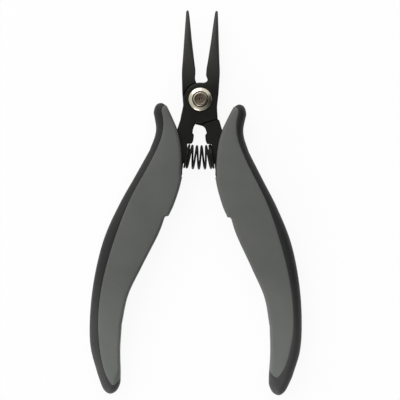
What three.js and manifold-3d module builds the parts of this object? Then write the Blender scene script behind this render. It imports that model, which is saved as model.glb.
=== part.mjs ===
// Round nose pliers with spring-opened handles, lying flat with the jaws along +Y.
//
// Two forged steel halves cross in a half-lap at a rivet. Each half is one jaw, a half-thickness
// cheek round the rivet, and a tang that runs down inside a two-component grip. A coil spring sits
// on a peg of each tang and holds the handles open.
//
// Frame, in millimetres: the rivet's axis is Z and passes through the origin, which lies in the
// plane that the pliers rest on. +Y points to the jaw tips and +X to the right-hand grip.
// Outlines are drawn for the right-hand side of the pliers and are mirrored for the left.

import * as THREE from "three";
import { mergeVertices } from "three/addons/utils/BufferGeometryUtils.js";
import Module from "manifold-3d";

const wasm = await Module();
wasm.setup();

// ---- Driving dimensions ---------------------------------------------------------------------

const GRIP_THICKNESS = 9.6;
const MID_HEIGHT = GRIP_THICKNESS / 2;      // height of the plane where the two halves meet
const STEEL_THICKNESS = 5;
const STEEL_HALF = STEEL_THICKNESS / 2;
const LAP_GAP = 0.2;                        // between the two cheeks
const FIT_GAP = 0.25;                       // between a grip and the steel inside it

const CHEEK_RADIUS = 6.4;                   // half-lap disc round the rivet
const POCKET_RADIUS = 6.65;                 // hollow that the other half's disc turns in
const BORE_RADIUS = 2.3;
const RELIEF_RADIUS = 8.95;                 // lower edge of the front cheek, clear of the other tang
const POCKET_TOP = 1.5;                     // the pocket under the cheek ends here on the jaw's side
const HEAD_CLEAR = 12;                      // further from the rivet than any edge of the head
const OVERCUT = 1;                          // how far a cut runs past the surface that it opens

const RIVET_RADIUS = 2.05;
const RIVET_HEAD_RADIUS = 2.75;
const RIVET_HEAD_HEIGHT = 0.7;
const RIVET_CHAMFER = 0.45;
const DIMPLE_RADIUS = 0.5;
const DIMPLE_DEPTH = 0.35;
const WASHER_RADIUS = 4.42;
const WASHER_THICKNESS = 1.4;
const WASHER_CHAMFER = 0.35;
const SEAT_GAP = 0.1;                       // between washer and cheek, and head and washer

const JAW_START = 8;                        // where the round jaw grows out of the flat head
const JAW_TIP = 33.9;

const SPRING_CENTRE = -22;                  // y of the spring's axis at its middle
const SPRING_REACH = 4.9;                   // half the distance between the end coils
const SPRING_SAG = 0.4;                     // the axis bows this far down at its middle
const COIL_RADIUS = 4.3;
const WIRE_RADIUS = 0.34;
const END_PITCH = 0.9;                      // the end coils lie close together
const TURNS = 6;                            // between the end coils' lowest points
const DEAD_TURN = 0.2;                      // wire past those points, lying flat in the seat

const TANG_END = -86;
const GRIP_BEVEL = 1.1;

// ---- Fineness -------------------------------------------------------------------------------

const SPAN_STEPS = 3;                       // along a curve, from one control point to the next
const LONG_SPAN_STEPS = 4;
const JAW_SIDES = 20;
const CHEEK_STEPS = 16;
const RELIEF_STEPS = 4;
const POCKET_SIDES = 72;
const ROUND_SIDES = 40;
const WASHER_SIDES = 48;
const WIRE_SIDES = 6;
const STEPS_PER_TURN = 18;
const BEVEL_STEPS = 2;
const MERGE_DISTANCE = 1e-5;

// ---- Materials ------------------------------------------------------------------------------

const steel = new THREE.MeshStandardMaterial({ color: 0x32312e, roughness: 0.55, metalness: 0.6 });
const nickel = new THREE.MeshStandardMaterial({ color: 0xbdb59b, roughness: 0.3, metalness: 1 });
const bronze = new THREE.MeshStandardMaterial({ color: 0x6e6354, roughness: 0.45, metalness: 0.9 });
const wire = new THREE.MeshStandardMaterial({ color: 0x17171a, roughness: 0.4, metalness: 0.8 });
const grey = new THREE.MeshStandardMaterial({ color: 0x676966, roughness: 0.6, metalness: 0 });
const dark = new THREE.MeshStandardMaterial({ color: 0x323331, roughness: 0.7, metalness: 0 });

// ---- Helpers --------------------------------------------------------------------------------

// A smooth run through a few control points, as a list of plain points.
function smooth(points, perSpan = SPAN_STEPS) {
  const curve = new THREE.CatmullRomCurve3(
    points.map(([x, y]) => new THREE.Vector3(x, y, 0)), false, "centripetal");
  return curve.getPoints((points.length - 1) * perSpan).map((p) => [p.x, p.y]);
}

// An arc about the rivet, between two angles in degrees.
function arc(radius, from, to, count) {
  return Array.from({ length: count + 1 }, (_, i) => {
    const angle = THREE.MathUtils.degToRad(from + ((to - from) * i) / count);
    return [radius * Math.cos(angle), radius * Math.sin(angle)];
  });
}

function mirrored(points) {
  return points.map(([x, y]) => [-x, y]);
}

function shapeOf(points) {
  return new THREE.Shape(points.map(([x, y]) => new THREE.Vector2(x, y)));
}

// A straight-sided slab of an outline, from height low to height high.
function slab(points, low, high) {
  const options = { depth: high - low, bevelEnabled: false };
  return new THREE.ExtrudeGeometry(shapeOf(points), options).translate(0, 0, low);
}

function disc(radius, low, high, segments) {
  const cylinder = new THREE.CylinderGeometry(radius, radius, high - low, segments);
  return cylinder.rotateX(Math.PI / 2).translate(0, 0, (low + high) / 2);
}

function toSolid(geometry) {
  const plain = geometry.clone();
  plain.deleteAttribute("normal");
  plain.deleteAttribute("uv");
  const merged = mergeVertices(plain, MERGE_DISTANCE);
  return new wasm.Manifold(new wasm.Mesh({
    numProp: 3,
    vertProperties: new Float32Array(merged.attributes.position.array),
    triVerts: new Uint32Array(merged.index.array),
  }));
}

function toGeometry(solid) {
  const mesh = solid.getMesh();
  const geometry = new THREE.BufferGeometry();
  geometry.setAttribute("position", new THREE.BufferAttribute(new Float32Array(mesh.vertProperties), 3));
  geometry.setIndex(new THREE.BufferAttribute(new Uint32Array(mesh.triVerts), 1));
  return geometry;
}

// A closed skin over a row of rings that have the same number of points.
function loft(rings) {
  const count = rings[0].length;
  const positions = rings.flat().flat();
  const last = (rings.length - 1) * count;
  const index = [];
  for (let r = 0; r < rings.length - 1; r += 1) {
    for (let i = 0; i < count; i += 1) {
      const a = r * count + i;
      const b = r * count + ((i + 1) % count);
      index.push(a, b, a + count, b, b + count, a + count);
    }
  }
  for (let i = 1; i < count - 1; i += 1) {
    index.push(0, i + 1, i);
    index.push(last, last + i, last + i + 1);
  }
  const geometry = new THREE.BufferGeometry();
  geometry.setAttribute("position", new THREE.BufferAttribute(new Float32Array(positions), 3));
  geometry.setIndex(index);
  return geometry;
}

// ---- Steel halves ---------------------------------------------------------------------------

// Stations along a jaw: y, centre x, half width, half thickness, and squareness of the section,
// which goes from a rounded bar at the head (high) to a plain round at the tip (2).
const JAW_STATIONS = [
  [JAW_START, 4.6, 2.5, 2.5, 6],
  [11, 4.62, 2.56, 2.5, 5],
  [14, 4.76, 2.28, 2.4, 4],
  [18, 4.93, 1.9, 1.98, 3],
  [23, 5.14, 1.44, 1.46, 2.4],
  [28.5, 5.32, 0.97, 0.97, 2],
  [33, 5.49, 0.57, 0.57, 2],
  [JAW_TIP, 5.52, 0.28, 0.28, 2],
];

function jaw() {
  const rings = JAW_STATIONS.map(([y, centre, halfWidth, halfDepth, squareness]) =>
    Array.from({ length: JAW_SIDES }, (_, i) => {
      const angle = (2 * Math.PI * (i + 0.5)) / JAW_SIDES;
      const bulge = (value) => Math.sign(value) * Math.abs(value) ** (2 / squareness);
      return [centre + halfWidth * bulge(Math.sin(angle)), y, halfDepth * bulge(Math.cos(angle))];
    }));
  return loft(rings);
}

// The tang inside the grip: its outer and inner edges, from the head down to its square end.
const TANG_OUTER = smooth([
  [7.4, -7.8], [8.4, -11], [9.9, -15], [12, -19.5], [15.4, -26.5], [21, -38], [26.6, -51.5],
  [30.6, -64], [32.7, -76], [33, TANG_END],
]);
const TANG_INNER = smooth([
  [29.6, TANG_END], [29, -79], [27, -71.5], [22.5, -61], [17, -50.5], [12.2, -41.5], [8.9, -35],
  [6.8, -30.2],
]);

// The spring's seat: a peg that stands in a notch of the tang, its tip cut back along a radius of
// the rivet so that the two pegs pass clear of each other when the handles close.
const SEAT = [
  [6.3, -28.5], [6.3, -26.9], [5.95, -24.4], [4.15, -24.4], [3.85, -24.1], [3.15, -19.2],
  [3.35, -18.9], [4.45, -18.9], [4.65, -16.95], [3.1, -16.85],
];

// The keyhole's side, from the spring's seat up to where it turns in under the cheeks.
const KEYHOLE_SIDE = smooth([
  [3.1, -16.85], [2.75, -16.5], [2.42, -15.8], [2.22, -14.5], [2.15, -13.6],
]).slice(1);
const KEYHOLE_NOTCH = [[2.3, -13.3], [2.68, -12.8]];

// The outer side of the head, from the jaw's base down to the cheek.
const HEAD_SIDE = smooth([[7.2, 9.5], [7.05, 6], [6.9, 2.5], [6.68, 0], [6.45, -2.4]]);

// What differs between the halves: the throat at the jaw's base, the side of the head above the
// tang, the lower edge of the cheek, the keyhole's upper corner, and the shoulder line below which
// the tang keeps its full thickness. Each is drawn for a half whose jaw is on the right and whose
// tang is on the left.
const FRONT_HALF = {
  throat: [[0.9, 6.34], [1.48, 6.43], [2.3, 6.85], [2.62, 7.6], [2.3, 8.5], [2.02, 9.3], [2.06, 10.2]],
  tangSide: [[-6.35, -0.9], [-6.43, -2.2], [-6.72, -4], [-7.2, -6.4], [-7.4, -7.8]],
  cheekSide: [[6.5, -4], [6.68, -6], [6.8, -7.35]],
  cheekEdge: [[5.9, -7.6], [2.95, -8.42], ...arc(RELIEF_RADIUS, -83, -100, RELIEF_STEPS)],
  keyholeCorner: [[-1.72, -9.4], [-2.35, -10.7], [-2.6, -11.9]],
  shoulder: [[-10, -7.66], [-4.2, -9.1], [-3, -9.72], [-2.4, -10.5]],
};
const REAR_HALF = {
  throat: [[0.9, 6.34], [1.5, 6.5], [1.95, 7.1], [2.15, 8], [2.1, 9.2], [2.04, 10.4]],
  tangSide: [[-6.35, -0.9], [-6.3, -2.7], [-6.48, -5], [-6.76, -7], [-6.84, -7.45], [-7.4, -7.8]],
  cheekSide: [[6.5, -4], [6.8, -6], [7.1, -8.03]],
  cheekEdge: [[1.6, -9.4], [-0.9, -9.98]],
  keyholeCorner: [[-1.4, -10.2], [-2.1, -10.95], [-2.5, -12]],
  shoulder: [[-10, -6.4], [-1.62, -9.3], [-1.36, -10.2], [-1, -11]],
};

function halfOutline(half) {
  return [
    ...smooth(half.throat).reverse(),
    ...arc(CHEEK_RADIUS, 84, 186, CHEEK_STEPS),
    ...smooth(half.tangSide).slice(1),
    ...mirrored([...TANG_OUTER.slice(1), ...TANG_INNER, ...SEAT]),
    ...mirrored([...KEYHOLE_SIDE, ...KEYHOLE_NOTCH]),
    ...half.keyholeCorner.slice().reverse(),
    ...half.cheekEdge.slice().reverse(),
    ...half.cheekSide.slice().reverse(),
    ...HEAD_SIDE.slice().reverse(),
  ];
}

// One half, drawn as the front one: jaw on the right, tang on the left, cheek towards +Z.
function steelHalf(half) {
  const lap = LAP_GAP / 2;
  const below = -STEEL_HALF - OVERCUT;
  const beyondCheek = [
    [-HEAD_CLEAR, HEAD_CLEAR], ...half.shoulder, [0, -HEAD_CLEAR], [HEAD_CLEAR, -HEAD_CLEAR],
    [HEAD_CLEAR, POCKET_TOP], [0, POCKET_TOP], [0, HEAD_CLEAR],
  ];
  const blank = toSolid(slab(halfOutline(half), -STEEL_HALF, STEEL_HALF)).add(toSolid(jaw()));
  const pocket = toSolid(disc(POCKET_RADIUS, below, lap, POCKET_SIDES))
    .add(toSolid(slab(beyondCheek, below, lap)));
  const bore = toSolid(disc(BORE_RADIUS, below, STEEL_HALF + OVERCUT, ROUND_SIDES));
  return toGeometry(blank.subtract(pocket).subtract(bore));
}

// ---- Rivet and washers ----------------------------------------------------------------------

// The rivet has the same head at both ends. Its front end has a punched dimple and its rear end,
// which the pliers rest on, is flat.
function rivet() {
  const headBase = MID_HEIGHT - RIVET_HEAD_HEIGHT;
  const head = [
    [RIVET_RADIUS, headBase], [RIVET_HEAD_RADIUS, headBase],
    [RIVET_HEAD_RADIUS, MID_HEIGHT - RIVET_CHAMFER],
    [RIVET_HEAD_RADIUS - RIVET_CHAMFER, MID_HEIGHT],
  ];
  const dimple = [[DIMPLE_RADIUS, MID_HEIGHT], [0, MID_HEIGHT - DIMPLE_DEPTH]];
  const rearHead = head.map(([r, z]) => [r, -z]).reverse();
  const profile = [[0, -MID_HEIGHT], ...rearHead, ...head, ...dimple]
    .map(([r, z]) => new THREE.Vector2(r, z));
  return new THREE.LatheGeometry(profile, ROUND_SIDES).rotateX(Math.PI / 2);
}

function washer() {
  const profile = [
    [BORE_RADIUS, 0], [WASHER_RADIUS, 0], [WASHER_RADIUS, WASHER_THICKNESS - WASHER_CHAMFER],
    [WASHER_RADIUS - WASHER_CHAMFER, WASHER_THICKNESS], [BORE_RADIUS, WASHER_THICKNESS],
    [BORE_RADIUS, 0],
  ].map(([r, z]) => new THREE.Vector2(r, z));
  return new THREE.LatheGeometry(profile, WASHER_SIDES).rotateX(Math.PI / 2);
}

// ---- Return spring --------------------------------------------------------------------------

// The wire's path: a helix about a gently bowed axis, close-wound for the first and last turn.
class SpringPath extends THREE.Curve {
  getPoint(t, target = new THREE.Vector3()) {
    const turn = t * (TURNS + 2 * DEAD_TURN) - DEAD_TURN;
    const across = this.advance(turn);
    const bowRadius = (SPRING_REACH ** 2 + SPRING_SAG ** 2) / (2 * SPRING_SAG);
    const lean = across / bowRadius;
    const angle = 2 * Math.PI * turn;
    const inPlane = COIL_RADIUS * Math.cos(angle);
    const radial = bowRadius + inPlane;
    const arcCentre = SPRING_CENTRE + bowRadius;
    return target.set(
      radial * Math.sin(lean), arcCentre - radial * Math.cos(lean), COIL_RADIUS * Math.sin(angle));
  }

  advance(turn) {
    const openPitch = (2 * SPRING_REACH - 2 * END_PITCH) / (TURNS - 2);
    if (turn < 1) return -SPRING_REACH + Math.max(turn, 0) * END_PITCH;
    if (turn > TURNS - 1) return SPRING_REACH - Math.max(TURNS - turn, 0) * END_PITCH;
    return -SPRING_REACH + END_PITCH + (turn - 1) * openPitch;
  }
}

function spring() {
  const section = shapeOf(arc(WIRE_RADIUS, 0, 360 - 360 / WIRE_SIDES, WIRE_SIDES - 1));
  const steps = Math.round((TURNS + 2 * DEAD_TURN) * STEPS_PER_TURN);
  const options = { steps, extrudePath: new SpringPath(), bevelEnabled: false };
  return new THREE.ExtrudeGeometry(section, options);
}

// ---- Grips ----------------------------------------------------------------------------------

// The right-hand grip's outline, in runs that meet at the step on the inner edge, where the palm
// side of the grip begins, and at the small lip below the spring's notch.
const GRIP_MOUTH = smooth([[6.75, -28.8], [6.6, -23], [7.3, -16.5], [8.7, -11]], LONG_SPAN_STEPS);
const GRIP_HORN = smooth([
  [8.7, -11], [9.5, -9.2], [11.2, -5.6], [12.6, -2.8], [14.7, -1.6], [16.6, -2.3], [17.6, -5.1],
  [17.2, -7.4], [16.6, -11], [16.9, -14], [18.9, -19.7],
]);
const GRIP_BACK = smooth([
  [18.9, -19.7], [24, -29.3], [30, -40.5], [35.5, -53.5], [39, -69], [40.3, -84], [39.8, -95],
  [37, -105],
], LONG_SPAN_STEPS);
const GRIP_INSIDE = smooth([
  [28.2, -86], [26, -75], [21, -64], [14.5, -50.5], [12.75, -45.3],
], LONG_SPAN_STEPS);
const GRIP_PALM = smooth([[11.2, -44.5], [9.5, -40.8], [7.3, -34], [6.35, -29.7]]);

// The foot, from the outer side round to the inner one. The left-hand grip is a little longer.
const GRIP_FOOT = {
  left: [[37, -105], [34.35, -111.1], [32.2, -112.5], [29.9, -111.6], [28.35, -108.7], [28.2, -105]],
  right: [[37, -105], [34.2, -110.5], [32.2, -111.8], [29.9, -110.9], [28.35, -108.1], [28.2, -105]],
};
const GRIP_SHANK = smooth([[28.2, -105], [28.6, -96], [28.2, -86]]);

function gripOutline(side) {
  return [
    ...GRIP_MOUTH, ...GRIP_HORN.slice(1), ...GRIP_BACK.slice(1), ...smooth(GRIP_FOOT[side]).slice(1),
    ...GRIP_SHANK.slice(1), ...GRIP_INSIDE.slice(1), ...GRIP_PALM,
  ];
}

// Where the grey core meets the soft back, from the top of the horn down to the foot. The core
// reaches further down the left-hand grip.
const SEAM_TOP = [
  [11.8, -2.1], [13.5, -2.55], [14.6, -4.2], [14.1, -6.9], [13.85, -10.5], [14.65, -15.3],
  [17.9, -23.1], [26, -38.8], [31.4, -53.6], [35.1, -67.4], [36.7, -78], [36.9, -88],
];
const SEAM_FOOT = {
  left: [[35.6, -98.5], [33.4, -105.6], [30.6, -109], [27.2, -104.6]],
  right: [[35.1, -98], [33.2, -102.6], [30.9, -104.9], [27.2, -101]],
};

// Between the handles, past the inner edge of either grip: closes the core's side of the seam.
const CORE_CORNERS = [[0, -100], [0, 4]];

// Opens the tang's slot through the grip's mouth, from below the spring's seat up to the head.
const SLOT_MOUTH = [[6, -30.6], [4, -28], [4, -9]];

// The same points moved sideways, away from the core.
function offset(points, distance) {
  return points.map(([x, y], i) => {
    const [ax, ay] = points[Math.max(i - 1, 0)];
    const [bx, by] = points[Math.min(i + 1, points.length - 1)];
    const length = Math.hypot(bx - ax, by - ay);
    return [x - ((by - ay) / length) * distance, y + ((bx - ax) / length) * distance];
  });
}

function gripBlank(side) {
  const depth = GRIP_THICKNESS - 2 * GRIP_BEVEL;
  const geometry = new THREE.ExtrudeGeometry(shapeOf(gripOutline(side)), {
    depth, bevelEnabled: true, bevelThickness: GRIP_BEVEL, bevelSize: GRIP_BEVEL,
    bevelOffset: -GRIP_BEVEL, bevelSegments: BEVEL_STEPS,
  });
  return toSolid(geometry.translate(0, 0, -depth / 2));
}

// Everything on the core's side of the seam.
function coreSide(seam) {
  return toSolid(slab([...seam, ...CORE_CORNERS], -GRIP_THICKNESS, GRIP_THICKNESS));
}

// The slot in the core that the tang fills, open along the grip's mouth.
function tangSlot() {
  const outer = offset(TANG_OUTER, FIT_GAP);
  const inner = offset(TANG_INNER, FIT_GAP);
  const reach = STEEL_HALF + FIT_GAP;
  const end = TANG_END - FIT_GAP;
  return toSolid(slab([
    ...outer.slice(0, -1), [outer.at(-1)[0], end], [inner[0][0], end], ...inner.slice(1),
    ...SLOT_MOUTH,
  ], -reach, reach));
}

function gripCore(side) {
  const seam = smooth([...SEAM_TOP, ...SEAM_FOOT[side]]);
  return toGeometry(gripBlank(side).intersect(coreSide(seam)).subtract(tangSlot()));
}

function gripBack(side) {
  const seam = smooth([...SEAM_TOP, ...SEAM_FOOT[side]]);
  return toGeometry(gripBlank(side).subtract(coreSide(offset(seam, FIT_GAP))));
}

// ---- Assembly -------------------------------------------------------------------------------

function named(name, geometry, material) {
  const mesh = new THREE.Mesh(geometry, material);
  mesh.name = name;
  return mesh;
}

const pliers = new THREE.Group();
pliers.position.z = MID_HEIGHT;

// The rear half is drawn like the front one and turned over about Y.
const turnedOver = new THREE.Group();
turnedOver.rotation.y = Math.PI;
pliers.add(turnedOver);

pliers.add(named("front_half", steelHalf(FRONT_HALF), steel));
turnedOver.add(named("rear_half", steelHalf(REAR_HALF), steel));

pliers.add(named("rivet", rivet(), bronze));
const washerSeat = STEEL_HALF + SEAT_GAP;
const frontWasher = named("front_washer", washer(), nickel);
const rearWasher = named("rear_washer", washer(), nickel);
frontWasher.position.z = washerSeat;
rearWasher.position.z = washerSeat;
pliers.add(frontWasher);
turnedOver.add(rearWasher);

pliers.add(named("return_spring", spring(), wire));

// The grips are drawn on the right; turning one over about Y puts it on the left.
for (const [side, holder] of [["right", pliers], ["left", turnedOver]]) {
  holder.add(named(`${side}_grip_core`, gripCore(side), grey));
  holder.add(named(`${side}_grip_soft_back`, gripBack(side), dark));
}

export default pliers;
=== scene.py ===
"""Round nose pliers lying open on a white surface, seen from straight above.

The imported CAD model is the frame. The two steel halves, the grips, the rivet, its washers and the
spring are built here as finer meshes in the places that the frame gives, with procedural
materials. Outlines are in millimetres, in the row's X and Y, drawn for the front half (its jaw on
the right, its tang on the left) and for the right-hand grip. Heights are from the mid-plane.
"""

import math

import bpy
import numpy as np
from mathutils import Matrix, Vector
from mathutils.geometry import delaunay_2d_cdt


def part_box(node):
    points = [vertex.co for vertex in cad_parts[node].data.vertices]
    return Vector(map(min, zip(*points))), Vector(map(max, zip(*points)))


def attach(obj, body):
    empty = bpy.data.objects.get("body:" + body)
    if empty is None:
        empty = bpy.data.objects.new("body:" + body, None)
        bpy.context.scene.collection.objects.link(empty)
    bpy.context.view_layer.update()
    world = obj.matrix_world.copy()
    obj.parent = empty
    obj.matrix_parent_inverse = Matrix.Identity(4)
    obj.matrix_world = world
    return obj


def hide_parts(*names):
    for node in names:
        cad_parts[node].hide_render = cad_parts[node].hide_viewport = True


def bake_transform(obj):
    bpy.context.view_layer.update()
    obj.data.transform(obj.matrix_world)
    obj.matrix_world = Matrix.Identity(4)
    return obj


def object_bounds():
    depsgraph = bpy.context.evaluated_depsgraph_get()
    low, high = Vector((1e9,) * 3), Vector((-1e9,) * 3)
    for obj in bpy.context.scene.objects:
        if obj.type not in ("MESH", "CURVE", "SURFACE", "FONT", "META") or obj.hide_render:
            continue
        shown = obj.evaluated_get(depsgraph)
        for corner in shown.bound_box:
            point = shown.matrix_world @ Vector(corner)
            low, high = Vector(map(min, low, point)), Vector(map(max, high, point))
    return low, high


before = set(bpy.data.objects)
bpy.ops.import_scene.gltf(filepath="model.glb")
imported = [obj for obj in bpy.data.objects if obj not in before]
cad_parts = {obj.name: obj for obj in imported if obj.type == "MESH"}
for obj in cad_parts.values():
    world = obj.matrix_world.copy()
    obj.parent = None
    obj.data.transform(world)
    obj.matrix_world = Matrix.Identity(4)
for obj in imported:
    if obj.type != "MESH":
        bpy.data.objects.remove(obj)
cad_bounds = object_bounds()

MM = 0.001


def node_size(name):
    """Lowest corner, highest corner and centre of a CAD node, in millimetres."""
    low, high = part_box(name)
    return low / MM, high / MM, (low + high) / (2 * MM)


# ---- Dimensions from the frame ---------------------------------------------------------------

RIVET_LOW, RIVET_HIGH, RIVET_CENTRE = node_size("rivet")
MID_HEIGHT = RIVET_CENTRE.z
HEAD_TOP = RIVET_HIGH.z - MID_HEIGHT
STEEL_LOW, STEEL_HIGH, _ = node_size("front_half")
STEEL_HALF = (STEEL_HIGH.z - STEEL_LOW.z) / 2
JAW_TIP = STEEL_HIGH.y
GRIP_LOW, GRIP_HIGH, _ = node_size("right_grip_core")
GRIP_HALF = (GRIP_HIGH.z - GRIP_LOW.z) / 2
WASHER_LOW, WASHER_HIGH, _ = node_size("front_washer")
WASHER_BASE = WASHER_LOW.z - MID_HEIGHT
WASHER_TOP = WASHER_HIGH.z - MID_HEIGHT
WASHER_RADIUS = WASHER_HIGH.x
RIVET_HEAD_RADIUS = RIVET_HIGH.x

# ---- Dimensions of the fine shapes, in millimetres -------------------------------------------

SPACING = 0.45              # between points along an outline
GRID_SPACING = 1.3          # between points inside an outline
LAP_GAP = 0.04              # between the two cheeks
CHEEK_RADIUS = 6.4
POCKET_RADIUS = 6.6
POCKET_CHAMFER = 0.34       # along the rim of a pocket, where it opens in a face
BEYOND = 12                 # further from the rivet than any edge of the head
BORE_RADIUS = 2.3
RELIEF_RADIUS = 8.95
POCKET_TOP = 1.5            # the pocket under the cheek ends here on the jaw's side
SLOT_GAP = 0.08             # between a tang and the grip round it
SEAM_GAP = 0.03
SEAM_DEPTH = 0.12
SEAM_WIDTH = 0.22
WASHER_GROOVE = 0.27        # gap between the rivet's head and the washer's cone; the nickel paints shade across it
GRIP_CROWN = 0.45           # how much higher a grip's middle is than the rim of its face
CROWN_REACH = 3.6           # the grip's crown falls away over this distance from its outline
STEEL_EDGE = 0.3            # radius along the edges of the steel
STEEL_CROWN = 0.2           # how much higher the middle of a steel face is than its rim
STEEL_REACH = 2.4           # the same as the crown reach, for the steel

JAW_ROUND_FROM = 8.0        # the section goes from flat to round between these two places along Y
JAW_ROUND_TO = 27.0

COIL_RADIUS = 4.3
WIRE_RADIUS = 0.4
SPRING_REACH = 4.9          # from the middle of the spring to each end coil
SPRING_SAG = 0.4            # how far the ends rise above the middle
SPRING_AXIS = -22.0
END_PITCH = 0.84            # advance of each end coil, which is nearly closed
COIL_TURNS = 6
LEFT_TAIL = 0.2             # turns of wire past each end coil's lowest point
RIGHT_TAIL = 0.52

SHARP_STEEL = 30            # edges that turn by more than this many degrees stay sharp
SHARP_TURNED = 40
SHARP_GRIP = 40
SHARP_WIRE = 60

# ---- Fineness of the meshes ------------------------------------------------------------------

CURVE_STEPS = 24            # per leg of a smooth curve, before it is resampled
SAME_POINT = 0.06           # points of an outline closer than this are one, in millimetres
ROW_SHARE = 0.866           # between rows of the inner grid, as a share of the spacing in a row
LATHE_SEGMENTS = 96
WIRE_SIDES = 12
WIRE_STEPS = 40             # per turn of the spring
WALL_STEPS = 4              # between the two faces of a relief
CHUNK = 1500                # points handled at once, to bound the memory


# ---- Outlines --------------------------------------------------------------------------------

def smooth(points, spacing=SPACING):
    """A centripetal Catmull-Rom curve through the points, resampled at about the spacing."""
    p = np.array(points, float)
    p = np.vstack([2 * p[0] - p[1], p, 2 * p[-1] - p[-2]])
    fine = []
    steps = np.linspace(0, 1, CURVE_STEPS, endpoint=False)[:, None]
    for p0, p1, p2, p3 in zip(p, p[1:], p[2:], p[3:]):
        d0, d1, d2 = (math.sqrt(np.linalg.norm(b - a)) for a, b in ((p0, p1), (p1, p2), (p2, p3)))
        m1 = ((p1 - p0) / d0 - (p2 - p0) / (d0 + d1) + (p2 - p1) / d1) * d1
        m2 = ((p2 - p1) / d1 - (p3 - p1) / (d1 + d2) + (p3 - p2) / d2) * d1
        cubic = 2 * p1 - 2 * p2 + m1 + m2
        square = -3 * p1 + 3 * p2 - 2 * m1 - m2
        fine.append(((cubic * steps + square) * steps + m1) * steps + p1)
    fine.append(p[-2][None])
    return resample(np.vstack(fine), spacing)


def resample(points, spacing):
    """The same path with evenly spaced points; both ends stay."""
    lengths = np.r_[0, np.cumsum(np.linalg.norm(np.diff(points, axis=0), axis=1))]
    count = max(1, round(lengths[-1] / spacing))
    at = np.linspace(0, lengths[-1], count + 1)
    return np.column_stack([np.interp(at, lengths, points[:, k]) for k in (0, 1)])


def straight(points):
    """Straight legs between the points, each divided at the spacing."""
    p = np.array(points, float)
    legs = [resample(np.array([a, b]), SPACING)[:-1] for a, b in zip(p, p[1:])]
    return np.vstack(legs + [p[-1:]])


def arc(radius, start, stop):
    """An arc about the rivet between two angles in degrees."""
    count = max(2, round(radius * math.radians(abs(stop - start)) / SPACING))
    angles = np.radians(np.linspace(start, stop, count + 1))
    return radius * np.column_stack([np.cos(angles), np.sin(angles)])


def mirrored(points):
    return np.array(points, float) * (-1, 1)


def offset(points, distance):
    """An open path moved sideways to its left."""
    along = np.gradient(np.asarray(points, float), axis=0)
    along /= np.linalg.norm(along, axis=1)[:, None]
    return points + distance * np.column_stack([-along[:, 1], along[:, 0]])


def join(runs):
    """One closed loop from runs of (points, plan radius, depth radius): points and both radii."""
    points, plan, depth = [], [], []
    for run, plan_radius, depth_radius in runs:
        for point in run:
            if points and np.linalg.norm(point - points[-1]) < SAME_POINT:
                continue
            points.append(point)
            plan.append(plan_radius)
            depth.append(depth_radius)
    if np.linalg.norm(points[0] - points[-1]) < SAME_POINT:
        points, plan, depth = points[:-1], plan[:-1], depth[:-1]
    return np.array(points), ease(np.array(plan, float)), ease(np.array(depth, float))


def ease(values, reach=4):
    """A moving average round a loop, so that a change of radius isn't a step."""
    return np.mean([np.roll(values, k) for k in range(-reach, reach + 1)], axis=0)


# The steel half, in runs that follow its outline anticlockwise.
JAW_INNER = [[4.98, 33.1], [4.66, 31], [4.35, 28.5], [3.7, 23], [3.03, 18], [2.48, 14], [2.1, 11.5]]
JAW_END = smooth([[6.05, 33.1], [5.9, 33.62], [5.5, JAW_TIP - 0.03], [5.12, 33.62], [4.98, 33.1]], 0.12)
JAW_OUTER = smooth([
    [6.45, -2.4], [6.68, 0], [6.9, 2.5], [7.05, 6], [7.2, 9.5], [7.17, 11.5], [7.03, 14],
    [6.83, 18], [6.58, 23], [6.29, 28.5], [6.15, 31], [6.05, 33.1],
])
JAW_STATIONS = [8, 11, 14, 18, 23, 28.5, 33, 34]
JAW_HALF_WIDTHS = [2.56, 2.55, 2.28, 1.9, 1.44, 0.97, 0.54, 0.5]
JAW_HALF_DEPTHS = [STEEL_HALF, STEEL_HALF, 2.4, 1.98, 1.46, 0.97, 0.56, 0.5]
TANG_OUTER = smooth([
    [7.4, -7.8], [8.4, -11], [9.9, -15], [12, -19.5], [15.4, -26.5], [21, -38], [26.6, -51.5],
    [30.6, -64], [32.7, -76], [33, -86],
])
TANG_INNER = smooth([
    [29.6, -86], [29, -79], [27, -71.5], [22.5, -61], [17, -50.5], [12.2, -41.5], [8.9, -35],
    [6.8, -30.2],
])
SEAT = straight([
    [6.8, -30.2], [6.3, -28.5], [6.3, -26.9], [5.95, -24.4], [4.15, -24.4], [3.85, -24.1],
    [3.15, -19.2], [3.35, -18.9], [4.45, -18.9], [4.65, -16.95], [3.1, -16.85],
])
KEYHOLE = smooth([[3.1, -16.85], [2.75, -16.5], [2.42, -15.8], [2.22, -14.5], [2.15, -13.6]])
KEYHOLE_NOTCH = straight([[2.15, -13.6], [2.3, -13.3], [2.68, -12.8]])

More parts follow.
